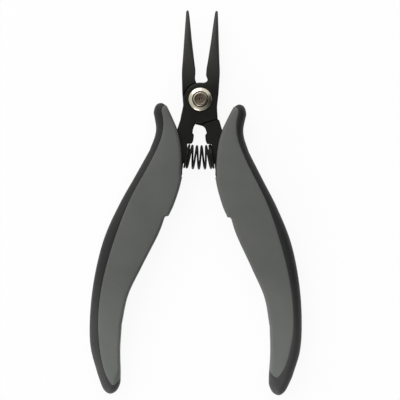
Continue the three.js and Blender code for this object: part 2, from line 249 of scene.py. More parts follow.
FRONT_HALF = {
    "disc_from": 82,
    "throat": [[2.06, 10.2], [2.02, 9.3], [2.3, 8.5], [2.62, 7.6], [2.3, 6.85], [1.48, 6.43], [0.9, 6.34]],
    "tang_side": [[6.37, 0], [6.43, -2.2], [6.72, -4], [7.2, -6.4], [7.4, -7.8]],
    "keyhole_corner": [[2.68, -12.8], [2.6, -11.9], [2.35, -10.7], [1.72, -9.4]],
    "cheek_edge": np.vstack([arc(RELIEF_RADIUS, -100, -83), [[2.95, -8.42], [5.9, -7.6]]]),
    "cheek_side": [[6.8, -7.35], [6.68, -6], [6.5, -4], [6.45, -2.4]],
    "shoulder": [[-10, -7.66], [-4.2, -9.1], [-3, -9.72], [-2.4, -10.5]],
}
REAR_HALF = {
    "disc_from": 76,
    "throat": [[2.04, 10.4], [2.1, 9.2], [2.15, 8], [1.95, 7.1], [1.62, 6.4]],
    "tang_side": [[6.37, 0], [6.3, -2.7], [6.48, -5], [6.76, -7], [6.84, -7.45], [7.4, -7.8]],
    "keyhole_corner": [[2.68, -12.8], [2.5, -12], [2.1, -10.95], [1.4, -10.2]],
    "cheek_edge": np.array([[-0.9, -9.98], [1.6, -9.4]]),
    "cheek_side": [[7.1, -8.03], [6.8, -6], [6.5, -4], [6.45, -2.4]],
    "shoulder": [[-10, -6.4], [-1.62, -9.3], [-1.36, -10.2], [-1, -11]],
}


DISC_EDGE = (0.9, 0.42)      # reach and depth of the rounding along the round of the disc


def half_loop(half):
    """The outline of a steel half, with the rounding along each run of it."""
    edge = (STEEL_EDGE, STEEL_EDGE)
    corner = mirrored(smooth(half["keyhole_corner"]))
    cheek = straight(np.vstack([corner[-1:], half["cheek_edge"], half["cheek_side"][:1]]))
    return join([
        (smooth(JAW_INNER + half["throat"]), *edge),
        (arc(CHEEK_RADIUS, half["disc_from"], 180), *DISC_EDGE),
        (mirrored(smooth(half["tang_side"])), *edge),
        (mirrored(TANG_OUTER), *edge),
        (mirrored(TANG_INNER), *edge),
        (mirrored(SEAT), *edge),
        (mirrored(KEYHOLE), *edge),
        (mirrored(KEYHOLE_NOTCH), *edge),
        (corner, *edge),
        (cheek, *edge),
        (smooth(half["cheek_side"]), *edge),
        (JAW_OUTER, *edge),
        (JAW_END, *edge),
    ])


# The right-hand grip, in runs from the small lip below the spring's seat, over the horn and down.
# Each run has the reach and the depth of the rounding along its edge.
SOFT_EDGE = (3.0, 3.7)
HORN_EDGE = (2.4, 3.4)
FOOT_EDGE = (2.6, 3.4)
HARD_EDGE = (1.15, 1.1)
STEP_EDGE = (0.7, 0.8)
GRIP_MOUTH = [[6.75, -28.8], [6.6, -23], [7.3, -16.5], [8.7, -11]]
GRIP_CHEEK = [[8.7, -11], [9.5, -9.2], [11.2, -5.6], [12.6, -2.8]]
GRIP_HORN = [
    [12.6, -2.8], [14.7, -1.6], [16.6, -2.3], [17.6, -5.1], [17.2, -7.4], [16.6, -11], [16.9, -14],
    [18.9, -19.7],
]
GRIP_BACK = [
    [18.9, -19.7], [24, -29.3], [30, -40.5], [35.5, -53.5], [39, -69], [40.3, -84], [39.8, -95],
    [37, -105],
]
GRIP_FOOT = {
    "left": [[37, -105], [34.35, -111.1], [32.2, -112.5], [29.9, -111.6], [28.35, -108.7], [28.2, -105]],
    "right": [[37, -105], [34.2, -110.5], [32.2, -111.8], [29.9, -110.9], [28.35, -108.1], [28.2, -105]],
}
GRIP_SHANK = [[28.2, -105], [28.6, -96], [28.2, -86]]
GRIP_INSIDE = [[28.2, -86], [26, -75], [21, -64], [14.5, -50.5], [12.75, -45.3]]
GRIP_STEP = [[12.75, -45.3], [12.4, -44.75], [11.2, -44.5]]
GRIP_PALM = [[11.2, -44.5], [9.5, -40.8], [7.3, -34], [6.35, -29.7]]
GRIP_LIP = [[6.35, -29.7], [6.75, -28.8]]


def grip_loop(side):
    """The outline of a grip, with the rounding along each run of it."""
    return join([
        (smooth(GRIP_MOUTH), *HARD_EDGE),
        (smooth(GRIP_CHEEK), *HARD_EDGE),
        (smooth(GRIP_HORN), *HORN_EDGE),
        (smooth(GRIP_BACK), *SOFT_EDGE),
        (smooth(GRIP_FOOT[side]), *FOOT_EDGE),
        (smooth(GRIP_SHANK), *HARD_EDGE),
        (smooth(GRIP_INSIDE), *HARD_EDGE),
        (straight(GRIP_STEP), *STEP_EDGE),
        (smooth(GRIP_PALM), *HARD_EDGE),
        (straight(GRIP_LIP), *STEP_EDGE),
    ])


SEAM_TOP = [
    [11.8, -2.1], [13.5, -2.55], [14.6, -4.2], [14.1, -6.9], [13.85, -10.5], [14.65, -15.3],
    [17.9, -23.1], [26, -38.8], [31.4, -53.6], [35.1, -67.4], [36.7, -78], [36.9, -88],
]
SEAM_FOOT = {
    "left": [[35.6, -98.5], [33.4, -105.6], [30.6, -109], [27.2, -104.6]],
    "right": [[35.1, -98], [33.2, -102.6], [30.9, -104.9], [27.2, -101]],
}


# ---- Solids from outlines --------------------------------------------------------------------

def nearest(points, path, closed=True):
    """For each point its distance to a path, and where on the path the nearest place is."""
    a = path if closed else path[:-1]
    b = np.roll(path, -1, axis=0) if closed else path[1:]
    leg = b - a
    best, place = [], []
    for part in np.array_split(points, max(1, len(points) // CHUNK)):
        along = np.einsum("pij,ij->pi", part[:, None] - a, leg) / np.einsum("ij,ij->i", leg, leg)
        along = np.clip(along, 0, 1)
        gap = np.linalg.norm(part[:, None] - a - along[..., None] * leg, axis=2)
        index = gap.argmin(axis=1)
        rows = np.arange(len(part))
        best.append(gap[rows, index])
        place.append(index + along[rows, index])
    return np.concatenate(best), np.concatenate(place)


def inside(points, loop):
    """Which points lie inside a closed loop."""
    ax, ay = loop.T
    bx, by = np.roll(loop, -1, axis=0).T
    result = []
    for part in np.array_split(points, max(1, len(points) // CHUNK)):
        x, y = part[:, :1], part[:, 1:]
        spans = (ay > y) != (by > y)
        with np.errstate(divide="ignore", invalid="ignore"):
            crossing = spans & (x < (bx - ax) * (y - ay) / (by - ay) + ax)
        result.append(crossing.sum(axis=1) % 2 == 1)
    return np.concatenate(result)


def at_place(values, place):
    """Values given at a loop's points, read between them."""
    low = np.floor(place).astype(int) % len(values)
    part = place - np.floor(place)
    return values[low] * (1 - part) + values[(low + 1) % len(values)] * part


class Relief:
    """A solid whose two faces are the same relief, rounded down towards an outline."""

    LEVELS = (0.04, 0.15, 0.33, 0.58, 0.86, 1.0)

    def __init__(self, loop, half_height, crown, crown_reach, taper=None):
        self.points, self.plan, self.depth = loop
        self.half_height = half_height
        self.crown = crown
        self.crown_reach = crown_reach
        self.taper = taper

    def radii(self, points, place):
        plan = at_place(self.plan, place)
        depth = at_place(self.depth, place)
        top = np.full(len(points), float(self.half_height))
        if self.taper:
            plan, depth, top = self.taper(points, plan, depth, top)
        return plan, depth, top

    def height(self, points):
        gap, place = nearest(points, self.points)
        plan, depth, top = self.radii(points, place)
        fall = 1 - np.clip(gap / plan, 0, 1)
        return top - self.crown * np.exp(-gap / self.crown_reach) - depth * (1 - np.sqrt(1 - fall ** 2))

    def rings(self):
        """Rows of points at set depths inside the outline, each with its validity."""
        step = np.roll(self.points, -1, axis=0) - np.roll(self.points, 1, axis=0)
        normal = np.column_stack([-step[:, 1], step[:, 0]]) / np.linalg.norm(step, axis=1)[:, None]
        if not inside(self.points[:1] + 0.05 * normal[:1], self.points)[0]:
            normal = -normal
        plan, _, _ = self.radii(self.points, np.arange(len(self.points), dtype=float))
        for level in self.LEVELS:
            reach = plan * level
            row = self.points + normal * reach[:, None]
            ahead = reach * 1.04 + 0.08
            beyond, _ = nearest(self.points + normal * ahead[:, None], self.points)
            yield row, (beyond > ahead * 0.96) & (reach > 0.025)


def triangulate(region, rows, loose):
    """Triangles of a region that keep its border and every valid stretch of the rows."""
    points = [region]
    edges = [(i, (i + 1) % len(region)) for i in range(len(region))]
    count = len(region)
    for row, valid, closed in rows:
        gap, _ = nearest(row, region)
        keep = valid & (gap > 0.02) & inside(row, region)
        number = np.where(keep, count + np.cumsum(keep) - 1, -1)
        following = np.roll(number, -1)
        if not closed:
            following[-1] = -1
        edges += [(int(a), int(b)) for a, b in zip(number, following) if a >= 0 and b >= 0]
        points.append(row[keep])
        count += int(keep.sum())
    gap, _ = nearest(loose, region)
    points.append(loose[inside(loose, region) & (gap > 0.4)])
    vectors = [Vector(p) for p in np.vstack(points)]
    verts, _, faces, *_ = delaunay_2d_cdt(vectors, edges, [list(range(len(region)))], 1, 1e-5)
    verts = np.array([tuple(v) for v in verts])
    faces = np.array(faces)
    a, b, c = (verts[faces[:, k]] for k in range(3))
    turn = (b - a)[:, 0] * (c - a)[:, 1] - (b - a)[:, 1] * (c - a)[:, 0]
    faces[turn < 0] = faces[turn < 0][:, ::-1]
    return verts, faces[np.abs(turn) > 1e-9]


def border_edges(faces):
    """Directed edges that belong to one triangle only."""
    directed = {(int(f[i]), int(f[(i + 1) % 3])) for f in faces for i in range(3)}
    return [(a, b) for a, b in directed if (b, a) not in directed]


def relief_solid(relief, region, extra_rows=(), groove=None):
    """Vertices and faces of the relief over a region: both faces and the wall round them."""
    rows = [(row, valid, True) for row, valid in relief.rings()] + list(extra_rows)
    low, high = region.min(axis=0), region.max(axis=0)
    xs = np.arange(low[0], high[0], GRID_SPACING)
    ys = np.arange(low[1], high[1], GRID_SPACING * ROW_SHARE)
    grid = np.array([(x + (k % 2) * GRID_SPACING / 2, y) for k, y in enumerate(ys) for x in xs])
    gap, place = nearest(grid, relief.points)
    plan, _, _ = relief.radii(grid, place)
    flat, faces = triangulate(region, rows, grid[gap > plan + 0.3])
    height = relief.height(flat)
    if groove is not None:
        height = height - groove(flat)
    count = len(flat)
    verts = [*np.column_stack([flat, height]), *np.column_stack([flat, -height])]
    result = [tuple(f) for f in faces] + [tuple(f[::-1] + count) for f in faces]
    border = sorted(border_edges(faces))
    column = {}
    for index in sorted({a for a, _ in border}):
        column[index] = [index]
        for k in range(1, WALL_STEPS):
            column[index].append(len(verts))
            verts.append((*flat[index], height[index] * (1 - 2 * k / WALL_STEPS)))
        column[index].append(index + count)
    for a, b in border:
        for k in range(WALL_STEPS):
            result.append((column[a][k], column[a][k + 1], column[b][k + 1], column[b][k]))
    return np.array(verts, float), result


def anticlockwise(points):
    loop = np.asarray(points, float)
    x, y = loop.T
    return loop if np.sum(x * np.roll(y, -1) - np.roll(x, -1) * y) > 0 else loop[::-1]


def grown(loop, distance):
    """An anticlockwise loop with every edge moved outwards."""
    legs = np.roll(loop, -1, axis=0) - loop
    legs /= np.linalg.norm(legs, axis=1)[:, None]
    after = np.column_stack([legs[:, 1], -legs[:, 0]])
    before = np.roll(after, 1, axis=0)
    mitre = (after + before) / (1 + np.sum(after * before, axis=1))[:, None]
    return loop + distance * mitre


def prism(points, low, high, flare=0.0):
    """A straight-sided solid of an outline, which may flare out where it leaves the lower face."""
    loop = anticlockwise(points)
    rings = [(loop, low), (loop, high)]
    if flare:
        wide = grown(loop, flare)
        rings = [(wide, low), (wide, -STEEL_HALF), (loop, flare - STEEL_HALF), (loop, high)]
    count = len(loop)
    verts = [(*p, z) for ring, z in rings for p in ring]
    last = (len(rings) - 1) * count
    faces = [tuple(range(count))[::-1], tuple(range(last, last + count))]
    for base in range(0, last, count):
        for i in range(count):
            j = (i + 1) % count
            faces.append((base + i, base + j, base + count + j, base + count + i))
    return np.array(verts), faces


def lathe(profile):
    """A solid turned about the rivet's axis from (radius, height) pairs that start and end on it."""
    verts, rings = [], []
    for radius, height in profile:
        if radius < 1e-6:
            rings.append([len(verts)])
            verts.append((0, 0, height))
            continue
        rings.append(list(range(len(verts), len(verts) + LATHE_SEGMENTS)))
        for k in range(LATHE_SEGMENTS):
            angle = 2 * math.pi * k / LATHE_SEGMENTS
            verts.append((radius * math.cos(angle), radius * math.sin(angle), height))
    faces = []
    for lower, upper in zip(rings, rings[1:]):
        for k in range(LATHE_SEGMENTS):
            a, b = lower[k % len(lower)], lower[(k + 1) % len(lower)]
            c, d = upper[(k + 1) % len(upper)], upper[k % len(upper)]
            face = list(dict.fromkeys((a, b, c, d)))
            if len(face) > 2:
                faces.append(tuple(face))
    return np.array(verts, float), faces


# ---- Blender objects -------------------------------------------------------------------------

def as_drawn(solid):
    return solid


def turned_over(solid):
    """The solid turned half a turn about Y."""
    verts, faces = solid
    return verts * (-1, 1, -1), faces


def make_object(name, solid, material=None, sharp=35):
    verts, faces = solid
    placed = (np.asarray(verts) + (0, 0, MID_HEIGHT)) * MM
    mesh = bpy.data.meshes.new(name)
    mesh.from_pydata([tuple(v) for v in placed], [], [tuple(int(i) for i in f) for f in faces])
    mesh.validate()
    obj = bpy.data.objects.new(name, mesh)
    bpy.context.scene.collection.objects.link(obj)
    if material:
        mesh.materials.append(material)
    shade(obj, sharp)
    return obj


def shade(obj, sharp):
    obj.data.polygons.foreach_set("use_smooth", [True] * len(obj.data.polygons))
    obj.data.set_sharp_from_angle(angle=math.radians(sharp))


def carve(obj, solid, sharp):
    """Cuts a solid out of an object."""
    cutter = make_object("cutter", solid)
    modifier = obj.modifiers.new("cut", "BOOLEAN")
    modifier.operation = "DIFFERENCE"
    modifier.solver = "EXACT"
    modifier.object = cutter
    bpy.context.view_layer.update()
    graph = bpy.context.evaluated_depsgraph_get()
    result = bpy.data.meshes.new_from_object(obj.evaluated_get(graph))
    obj.modifiers.clear()
    old = obj.data
    obj.data = result
    bpy.data.meshes.remove(old)
    bpy.data.objects.remove(cutter)
    shade(obj, sharp)


def place(obj, body, slot, *nodes):
    """Fixes an object to a body, in place of CAD nodes; the slot is not used."""
    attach(obj, body)
    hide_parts(*nodes)


# ---- Material tools --------------------------------------------------------------------------

def add_node(tree, kind, inputs=None, **settings):
    """A node with its settings; an input is a plain value or another node's output."""
    node = tree.nodes.new(kind)
    for name, value in settings.items():
        setattr(node, name, value)
    for name, value in (inputs or {}).items():
        if isinstance(value, bpy.types.NodeSocket):
            tree.links.new(value, node.inputs[name])
        else:
            node.inputs[name].default_value = value
    return node


def new_material(name, **values):
    """A material with a Principled shader, and its tree, shader and object coordinates."""
    material = bpy.data.materials.new(name)
    material.use_nodes = True
    tree = material.node_tree
    shader = tree.nodes["Principled BSDF"]
    for key, value in values.items():
        shader.inputs[key.replace("_", " ")].default_value = value
    coordinates = add_node(tree, "ShaderNodeTexCoord").outputs["Object"]
    return material, tree, shader, coordinates


def noise(tree, coordinates, size, detail=3.0, roughness=0.5):
    """Noise whose features are about size millimetres across."""
    inputs = {"Vector": coordinates, "Scale": 1 / (size * MM), "Detail": detail, "Roughness": roughness}
    return add_node(tree, "ShaderNodeTexNoise", inputs).outputs["Fac"]


def ramp(tree, value, stops):
    """A colour ramp over (position, colour or grey level) stops."""
    node = add_node(tree, "ShaderNodeValToRGB", {"Fac": value})
    elements = node.color_ramp.elements
    while len(elements) < len(stops):
        elements.new(0.5)
    for element, (position, colour) in zip(elements, stops):
        element.position = position
        element.color = (*colour, 1) if isinstance(colour, tuple) else (colour, colour, colour, 1)
    return node.outputs["Color"]


def remap(tree, value, start, stop, low, high):
    """The value's stretch from start to stop, spread from low to high."""
    inputs = {"Value": value, "From Min": start, "From Max": stop, "To Min": low, "To Max": high}
    return add_node(tree, "ShaderNodeMapRange", inputs).outputs["Result"]


def blend_colours(tree, factor, a, b):
    """From colour a, where the factor is 0, to colour b, where it is 1."""
    node = add_node(tree, "ShaderNodeMix", data_type="RGBA")
    for socket, value in ((node.inputs[0], factor), (node.inputs[6], a), (node.inputs[7], b)):
        if isinstance(value, bpy.types.NodeSocket):
            tree.links.new(value, socket)
        else:
            socket.default_value = (*value, 1) if isinstance(value, tuple) else value
    return node.outputs[2]


def maths(tree, operation, a, b=0.0):
    node = add_node(tree, "ShaderNodeMath", operation=operation)
    for socket, value in zip(node.inputs, (a, b)):
        if isinstance(value, bpy.types.NodeSocket):
            tree.links.new(value, socket)
        else:
            socket.default_value = value
    return node.outputs[0]


def bump(tree, height, distance, strength, normal=None):
    """A bump whose full height is the distance in millimetres."""
    inputs = {"Height": height, "Distance": distance * MM, "Strength": strength}
    if normal is not None:
        inputs["Normal"] = normal
    return add_node(tree, "ShaderNodeBump", inputs).outputs["Normal"]


def edge_mask(tree, radius):
    """1 along edges and corners, 0 on open faces: how far a bevel of that radius turns the normal."""
    low, high = 0.02, 0.2
    rounded = add_node(tree, "ShaderNodeBevel", {"Radius": radius * MM}, samples=6).outputs["Normal"]
    true = add_node(tree, "ShaderNodeNewGeometry").outputs["Normal"]
    dot = add_node(tree, "ShaderNodeVectorMath", operation="DOT_PRODUCT")
    tree.links.new(rounded, dot.inputs[0])
    tree.links.new(true, dot.inputs[1])
    turned = maths(tree, "SUBTRACT", 1.0, dot.outputs["Value"])
    return remap(tree, turned, low, high, 0.0, 1.0)


# ---- Materials -------------------------------------------------------------------------------

def black_steel():
    """Forged tool steel with a matte black-oxide finish, worn paler on its edges, and with painted light that
    makes the jaws paler towards their tips.
    """
    material, tree, shader, at = new_material("black_oxide_steel", Metallic=0.0, Specular_IOR_Level=0.22)
    patches = noise(tree, at, 7, 4, 0.6)
    colour = ramp(tree, patches, [(0.3, (0.0048, 0.0051, 0.0039)), (0.7, (0.0078, 0.008, 0.0064))])
    # Painted light: the steel grows paler up the jaws towards their tips, as if lit there.
    along = add_node(tree, "ShaderNodeSeparateXYZ", {"Vector": at}).outputs["Y"]
    jaw_share = maths(tree, "DIVIDE", along, JAW_TIP * MM)
    painted_tip_light = ramp(tree, jaw_share, [(0.1, 0.0), (0.3, 0.28), (0.62, 0.5), (1.0, 1.0)])
    colour = blend_colours(tree, painted_tip_light, colour, (0.072, 0.069, 0.064))
    specks = ramp(tree, noise(tree, at, 0.5, 2), [(0.62, 0.0), (0.75, 1.0)])
    colour = blend_colours(tree, maths(tree, "MULTIPLY", specks, 0.2), colour, (0.024, 0.023, 0.020))
    worn = maths(tree, "MULTIPLY", edge_mask(tree, 0.22), ramp(tree, patches, [(0.35, 0.1), (0.65, 0.5)]))
    colour = blend_colours(tree, worn, colour, (0.04, 0.038, 0.033))
    tree.links.new(colour, shader.inputs["Base Color"])
    rough = ramp(tree, noise(tree, at, 1.8, 4), [(0.3, 0.40), (0.7, 0.56)])
    tree.links.new(rough, shader.inputs["Roughness"])
    grain = bump(tree, noise(tree, at, 0.16, 3, 0.6), 0.012, 0.6)
    forged = bump(tree, noise(tree, at, 2.6, 2), 0.05, 0.5, grain)
    tree.links.new(forged, shader.inputs["Normal"])
    return material


def radial_coordinates(tree, at, stretch):
    """Distance from the rivet's axis, and a slow turn about it, as a vector for turning marks."""
    parts = add_node(tree, "ShaderNodeSeparateXYZ", {"Vector": at})
    x, y = parts.outputs["X"], parts.outputs["Y"]
    squares = maths(tree, "ADD", maths(tree, "MULTIPLY", x, x), maths(tree, "MULTIPLY", y, y))
    radius = maths(tree, "SQRT", squares)
    angle = maths(tree, "ARCTAN2", y, x)
    turn = maths(tree, "MULTIPLY", angle, stretch)
    return radius, add_node(tree, "ShaderNodeCombineXYZ", {"X": radius, "Y": turn}).outputs["Vector"]


def nickel():
    """Turned and nickel-plated: circular marks, a warm tint, dull patches, and painted shade in the groove."""
    material, tree, shader, at = new_material("nickel_plate", Metallic=1.0)
    radius, turning = radial_coordinates(tree, at, 0.0006)
    marks = noise(tree, turning, 0.09, 3, 0.7)
    patches = noise(tree, at, 1.6, 4, 0.6)
    colour = ramp(tree, patches, [(0.3, (0.58, 0.53, 0.42)), (0.65, (0.66, 0.62, 0.51))])
    # Painted shade: the nickel goes nearly black at the groove round the rivet's head, where the head's shadow
    # falls.
    groove_edge = (RIVET_HEAD_RADIUS + WASHER_GROOVE) * MM
    clear = remap(tree, radius, groove_edge, (RIVET_HEAD_RADIUS + 0.36) * MM, 0, 1)
    colour = blend_colours(tree, clear, (0.02, 0.018, 0.014), colour)
    tree.links.new(colour, shader.inputs["Base Color"])
    rough = ramp(tree, maths(tree, "MULTIPLY", marks, patches), [(0.1, 0.22), (0.45, 0.32)])
    tree.links.new(rough, shader.inputs["Roughness"])
    tree.links.new(bump(tree, marks, 0.005, 0.4), shader.inputs["Normal"])
    return material


def rivet_steel():
    """A browned rivet end with a paler chamfer, a dark punch mark and sides darkened by painted shade."""
    material, tree, shader, at = new_material("browned_rivet", Metallic=1.0)
    radius, turning = radial_coordinates(tree, at, 0.0008)
    stain = noise(tree, at, 0.7, 4, 0.65)
    face = ramp(tree, stain, [(0.3, (0.11, 0.086, 0.064)), (0.7, (0.22, 0.18, 0.138))])
    rim = maths(tree, "DIVIDE", radius, RIVET_HEAD_RADIUS * MM)
    bright = ramp(tree, rim, [(0.82, 0.0), (0.92, 1.0)])
    colour = blend_colours(tree, bright, face, (0.42, 0.37, 0.29))
    dark = ramp(tree, rim, [(0.12, 1.0), (0.24, 0.0)])
    colour = blend_colours(tree, maths(tree, "MULTIPLY", dark, 0.75), colour, (0.05, 0.04, 0.035))
    # Painted shade: the head's sides go dark where the washer's groove shades them.
    side = remap(tree, rim, 0.975, 0.995, 0.0, 1.0)
    colour = blend_colours(tree, side, colour, (0.03, 0.026, 0.02))
    tree.links.new(colour, shader.inputs["Base Color"])
    marks = noise(tree, turning, 0.12, 3, 0.7)
    tree.links.new(ramp(tree, marks, [(0.3, 0.28), (0.7, 0.46)]), shader.inputs["Roughness"])
    tree.links.new(bump(tree, marks, 0.012, 0.6), shader.inputs["Normal"])
    return material


def spring_wire():
    """Oil-blackened music wire."""
    material, tree, shader, at = new_material("black_spring_wire", Metallic=0.0, Specular_IOR_Level=0.22)
    patches = noise(tree, at, 0.8, 3)
    colour = ramp(tree, patches, [(0.3, (0.003, 0.003, 0.0031)), (0.75, (0.006, 0.006, 0.0058))])
    tree.links.new(colour, shader.inputs["Base Color"])
    tree.links.new(ramp(tree, patches, [(0.3, 0.4), (0.7, 0.52)]), shader.inputs["Roughness"])
    tree.links.new(bump(tree, noise(tree, at, 0.1, 2), 0.006, 0.5), shader.inputs["Normal"])
    return material


PAINTED_LIGHT_FROM = -66           # painted light makes the grips paler from here to the foot


def moulded(name, dark_tone, light_tone, roughness, grain, painted_light_gain, **values):
    """Moulded polymer with a spark-eroded grain and slow colour drift, and painted light that makes it paler
    towards the foot.
    """
    material, tree, shader, at = new_material(name, **values)
    drift = noise(tree, at, 14, 3, 0.5)
    colour = ramp(tree, drift, [(0.3, dark_tone), (0.7, light_tone)])
    fine = noise(tree, at, 0.22, 2, 0.6)
    along = add_node(tree, "ShaderNodeSeparateXYZ", {"Vector": at}).outputs["Y"]
    mottled = remap(tree, fine, 0.3, 0.7, 0.93, 1.07)
    # Painted light: the grips grow paler towards the foot, where more light falls.
    painted_foot_light = remap(tree, along, PAINTED_LIGHT_FROM * MM, GRIP_LOW.y * MM, 1.0, painted_light_gain)
    tone = maths(tree, "MULTIPLY", mottled, painted_foot_light)
    scale = add_node(tree, "ShaderNodeVectorMath", {"Vector": colour, "Scale": tone}, operation="SCALE")
    colour = scale.outputs["Vector"]
    tree.links.new(colour, shader.inputs["Base Color"])
    low, high = roughness
    rough = ramp(tree, noise(tree, at, 3.5, 4), [(0.3, low), (0.7, high)])
    tree.links.new(rough, shader.inputs["Roughness"])
    cells = add_node(tree, "ShaderNodeTexVoronoi", {"Vector": at, "Scale": 1 / (0.32 * MM)}, feature="F1")
    pits = ramp(tree, cells.outputs["Distance"], [(0.1, 0.0), (0.75, 1.0)])
    grained = bump(tree, pits, grain, 0.5)
    tree.links.new(bump(tree, fine, grain * 0.6, 0.5, grained), shader.inputs["Normal"])
    return material


def grip_grey():
    tones = (0.108, 0.113, 0.106), (0.124, 0.128, 0.121)
    return moulded("grey_grip_polymer", *tones, (0.5, 0.6), 0.02, 1.5, Specular_IOR_Level=0.35)


def grip_dark():
    tones = (0.0175, 0.018, 0.0175), (0.0225, 0.023, 0.022)
    return moulded("charcoal_soft_grip", *tones, (0.5, 0.62), 0.03, 3.2, Specular_IOR_Level=0.28)


# ---- Steel halves ----------------------------------------------------------------------------

def jaw_taper(points, plan, depth, top):
    """Along the jaw the plate thins and its edges grow round, until the section is a circle."""
    y = points[:, 1]
    width = np.interp(y, JAW_STATIONS, JAW_HALF_WIDTHS)
    thickness = np.interp(y, JAW_STATIONS, JAW_HALF_DEPTHS)
    share = np.clip((y - JAW_ROUND_FROM) / (JAW_ROUND_TO - JAW_ROUND_FROM), 0, 1)
    share = share * share * (3 - 2 * share)
    jaw = y > JAW_ROUND_FROM
    top = np.where(jaw, thickness, top)
    plan = np.where(jaw, plan + (width - plan) * share, plan)
    depth = np.where(jaw, depth + (thickness - depth) * share, depth)
    return plan, depth, top


def steel_half(name, half, material, rear=False):
    """One half, with the pocket for the other half's cheek and the bore cut out of it."""
    loop = half_loop(half)
    relief = Relief(loop, STEEL_HALF, STEEL_CROWN, STEEL_REACH, jaw_taper)
    solid = relief_solid(relief, loop[0])
    below = -STEEL_HALF - 1
    lap = LAP_GAP / 2
    disc = prism(arc(POCKET_RADIUS, 0, 357), below, lap, POCKET_CHAMFER)
    beyond = prism([
        [-BEYOND, BEYOND], *half["shoulder"], [0, -BEYOND], [BEYOND, -BEYOND],
        [BEYOND, POCKET_TOP], [0, POCKET_TOP], [0, BEYOND],
    ], below, lap, POCKET_CHAMFER)
    bore = prism(arc(BORE_RADIUS, 0, 354), below, -below)
    turn = turned_over if rear else as_drawn
    obj = make_object(name, turn(solid), material, SHARP_STEEL)
    for cutter in (disc, beyond, bore):
        carve(obj, turn(cutter), SHARP_STEEL)
    return obj


# ---- Rivet and washers -----------------------------------------------------------------------

def rivet_solid():
    """A shank with a chamfered head at both ends; the front one is dished and punched."""
    face = RIVET_HEAD_RADIUS - 0.62
    head = [
        (2.05, WASHER_TOP - 0.4), (RIVET_HEAD_RADIUS - 0.02, WASHER_TOP - 0.4),
        (RIVET_HEAD_RADIUS, WASHER_TOP - 0.3), (RIVET_HEAD_RADIUS - 0.02, HEAD_TOP - 0.4),
        (RIVET_HEAD_RADIUS - 0.12, HEAD_TOP - 0.24), (RIVET_HEAD_RADIUS - 0.32, HEAD_TOP - 0.09),
        (face + 0.08, HEAD_TOP - 0.01), (face, HEAD_TOP),
    ]
    dished = [(face - 0.1, HEAD_TOP - 0.03), (face - 0.3, HEAD_TOP - 0.14), (1.1, HEAD_TOP - 0.17),
              (0.55, HEAD_TOP - 0.18), (0.42, HEAD_TOP - 0.22), (0.2, HEAD_TOP - 0.42), (0, HEAD_TOP - 0.5)]
    flat = [(0, -HEAD_TOP)]
    rear = [(r, -z) for r, z in reversed(head)]
    return lathe(flat + rear + head + dished)


def washer_solid():
    """A turned washer: a straight cone from its rounded rim up to the groove round the rivet."""
    bore = RIVET_HEAD_RADIUS + WASHER_GROOVE
    rim = WASHER_BASE + 0.5
    return lathe([
        (BORE_RADIUS, WASHER_BASE), (WASHER_RADIUS - 0.08, WASHER_BASE), (WASHER_RADIUS, WASHER_BASE + 0.08),
        (WASHER_RADIUS, rim), (WASHER_RADIUS - 0.03, rim + 0.1), (WASHER_RADIUS - 0.1, rim + 0.17),
        (WASHER_RADIUS - 0.2, rim + 0.24), (bore + 0.14, WASHER_TOP - 0.03), (bore + 0.06, WASHER_TOP - 0.02),
        (bore, WASHER_TOP - 0.08), (bore - 0.02, WASHER_TOP - 0.45), (BORE_RADIUS, WASHER_TOP - 0.5),
        (BORE_RADIUS, WASHER_BASE),
    ])


# ---- Spring ----------------------------------------------------------------------------------

def spring_path(turn):
    """A point of the wire's centreline, counted in turns from the left end coil's lowest point."""
    open_pitch = (2 * SPRING_REACH - 2 * END_PITCH) / (COIL_TURNS - 2)
    if turn < 1:
        across = -SPRING_REACH + max(turn, 0) * END_PITCH
    elif turn > COIL_TURNS - 1:
        across = SPRING_REACH - max(COIL_TURNS - turn, 0) * END_PITCH
    else:
        across = -SPRING_REACH + END_PITCH + (turn - 1) * open_pitch
    bow = (SPRING_REACH ** 2 + SPRING_SAG ** 2) / (2 * SPRING_SAG)
    lean = across / bow
    angle = 2 * math.pi * turn
    radial = bow + COIL_RADIUS * math.cos(angle)
    centre = SPRING_AXIS + bow
    return np.array([radial * math.sin(lean), centre - radial * math.cos(lean), COIL_RADIUS * math.sin(angle)])


def spring_solid():
    """Round wire swept along the spring's path."""
    count = round((COIL_TURNS + LEFT_TAIL + RIGHT_TAIL) * WIRE_STEPS)
    turns = np.linspace(-LEFT_TAIL, COIL_TURNS + RIGHT_TAIL, count + 1)
    path = np.array([spring_path(t) for t in turns])
    tangent = np.gradient(path, axis=0)
    tangent /= np.linalg.norm(tangent, axis=1)[:, None]
    axis = np.array([1.0, 0.0, 0.0])
    side = axis - tangent * (tangent @ axis)[:, None]
    side /= np.linalg.norm(side, axis=1)[:, None]
    other = np.cross(tangent, side)
    angles = 2 * math.pi * np.arange(WIRE_SIDES) / WIRE_SIDES
    cosines, sines = np.cos(angles)[None, :, None], np.sin(angles)[None, :, None]
    section = cosines * side[:, None] + sines * other[:, None]
    verts = (path[:, None] + WIRE_RADIUS * section).reshape(-1, 3)
    faces = []
    for ring in range(count):
        for k in range(WIRE_SIDES):
            a, b = ring * WIRE_SIDES + k, ring * WIRE_SIDES + (k + 1) % WIRE_SIDES
            faces.append((a, b, b + WIRE_SIDES, a + WIRE_SIDES))
    faces.append(tuple(range(WIRE_SIDES))[::-1])
    faces.append(tuple(range(count * WIRE_SIDES, (count + 1) * WIRE_SIDES)))
    return verts, faces


# ---- Grips -----------------------------------------------------------------------------------

